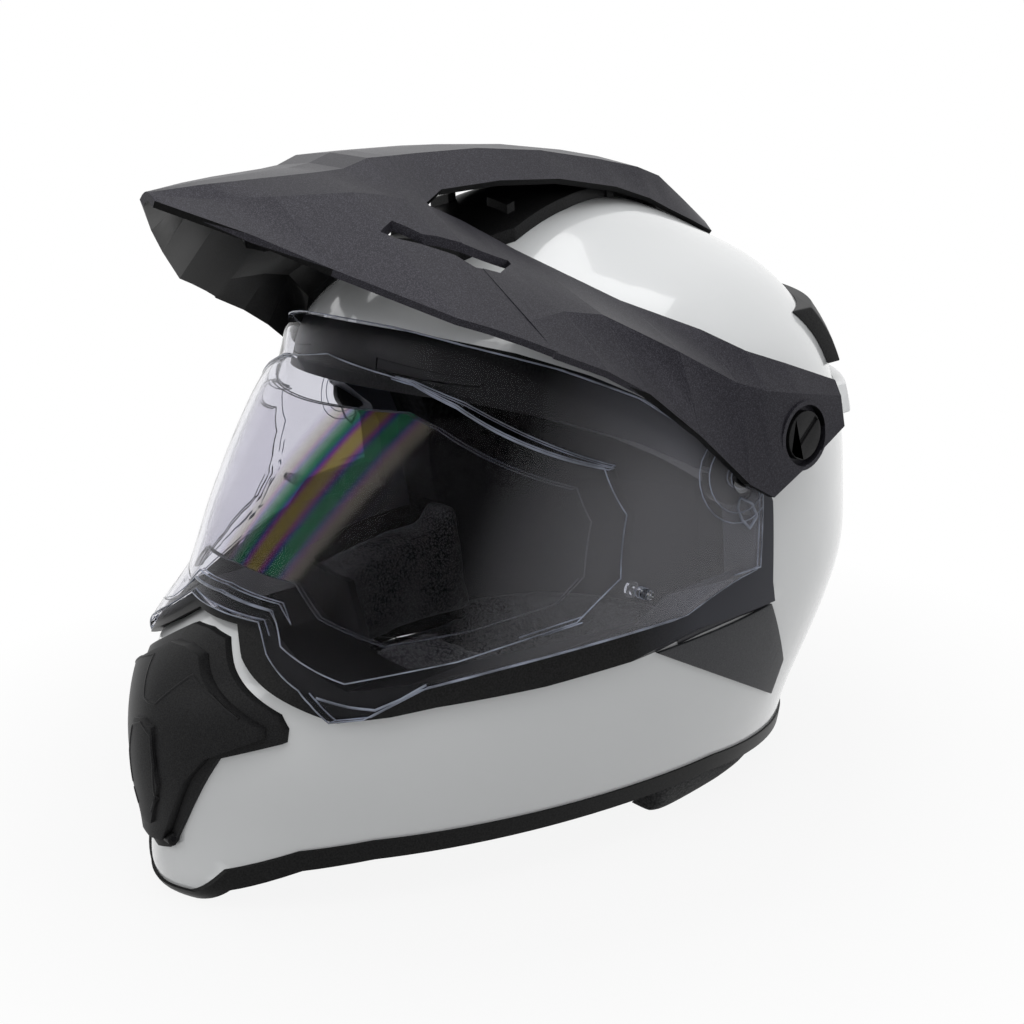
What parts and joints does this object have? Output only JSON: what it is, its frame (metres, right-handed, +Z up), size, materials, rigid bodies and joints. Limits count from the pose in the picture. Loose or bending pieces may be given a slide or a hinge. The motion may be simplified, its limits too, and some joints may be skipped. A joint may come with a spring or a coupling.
{
  "type": "dual sport helmet",
  "caption": "Full-face dual sport helmet with a clear pivoting visor, a long tilting peak over the brow, a hinged chin vent, padded liner and chin strap.",
  "frame": {"origin": "on the ground under the middle of the helmet's overall box", "axes": "+Z up, the front of the helmet looks along -Y, +X is the wearer's left"},
  "size_m": [0.276, 0.3462, 0.274],
  "materials": {
    "shell_white": "gloss",
    "peak_graphite": "satin, fine metallic fleck",
    "trim_black": "satin",
    "side_grey": "matte",
    "mesh_black": "matte",
    "rubber": "matte",
    "foam": "moulded bead foam",
    "textile": "brushed knit",
    "webbing": "woven",
    "clear_visor": "clear polycarbonate, gloss",
    "clear_lens": "clear cellulose, gloss",
    "steel": "brushed",
    "screw_black": "satin",
    "pin_smoke": "gloss",
    "clip_clear": "clear polycarbonate"
  },
  "bodies": {
    "shell": {"outer_shell": "shell_white", "edge_trim": "rubber", "port_seal": "rubber", "eps_crown_liner": "foam", "eps_chin_liner": "foam", "crown_pad": "textile", "neck_roll": "textile", "chin_curtain": "textile", "breath_guard": "rubber", "chin_vent_base": "trim_black", "chin_vent_mesh": "mesh_black", "chin_vent_pin": "steel", "top_vent_base": "trim_black", "rear_exhaust_upper": "trim_black", "rear_exhaust_lower": "shell_white", "strap_left": "webbing", "strap_right": "webbing", "cheek_pad_left": "textile", "cheek_pad_right": "textile", "side_trim_left": "side_grey", "side_trim_right": "side_grey", "brow_vent_left": "trim_black", "brow_vent_right": "trim_black", "pivot_base_left": "trim_black", "pivot_base_right": "trim_black", "pivot_cap_left": "clip_clear", "pivot_cap_right": "clip_clear", "strap_anchor_left": "steel", "strap_anchor_right": "steel"},
    "visor": {"visor": "clear_visor", "lens_insert": "clear_lens", "lens_pin_left": "pin_smoke", "lens_pin_right": "pin_smoke"},
    "peak": {"peak": "peak_graphite"},
    "peak_screw_left": {"peak_screw_left": "screw_black"},
    "peak_screw_right": {"peak_screw_right": "screw_black"},
    "chin_vent_cover": {"chin_vent_cover": "trim_black"},
    "top_vent_slider": {"top_vent_slider": "trim_black"},
    "d_ring": {"d_ring": "steel"}
  },
  "joints": [
    {"name": "visor_hinge", "type": "hinge", "parent": "shell", "child": "visor", "pos_m": [0, 0.0221, 0.15], "axis": [-1, 0, 0], "range_deg": [0, 30]},
    {"name": "peak_tilt", "type": "hinge", "parent": "shell", "child": "peak", "pos_m": [0, 0.0531, 0.161], "axis": [-1, 0, 0], "range_deg": [-3, 0]},
    {"name": "peak_screw_left_turn", "type": "hinge", "parent": "peak", "child": "peak_screw_left", "pos_m": [0.13625, 0.0531, 0.161], "axis": [1, 0, 0], "range_deg": [0, 90]},
    {"name": "peak_screw_right_turn", "type": "hinge", "parent": "peak", "child": "peak_screw_right", "pos_m": [-0.13625, 0.0531, 0.161], "axis": [-1, 0, 0], "range_deg": [0, 90]},
    {"name": "chin_vent_hinge", "type": "hinge", "parent": "shell", "child": "chin_vent_cover", "pos_m": [0, -0.1673, 0.026], "axis": [1, 0, 0], "range_deg": [0, 10]},
    {"name": "top_vent_slide", "type": "slide", "parent": "shell", "child": "top_vent_slider", "axis": [0, 1, 0], "range_m": [-0.004, 0.004]},
    {"name": "d_ring_swing", "type": "hinge", "parent": "shell", "child": "d_ring", "pos_m": [0.0605, -0.0089, 0.01438], "axis": [0, 1, 0], "range_deg": [-40, 60]}
  ]
}
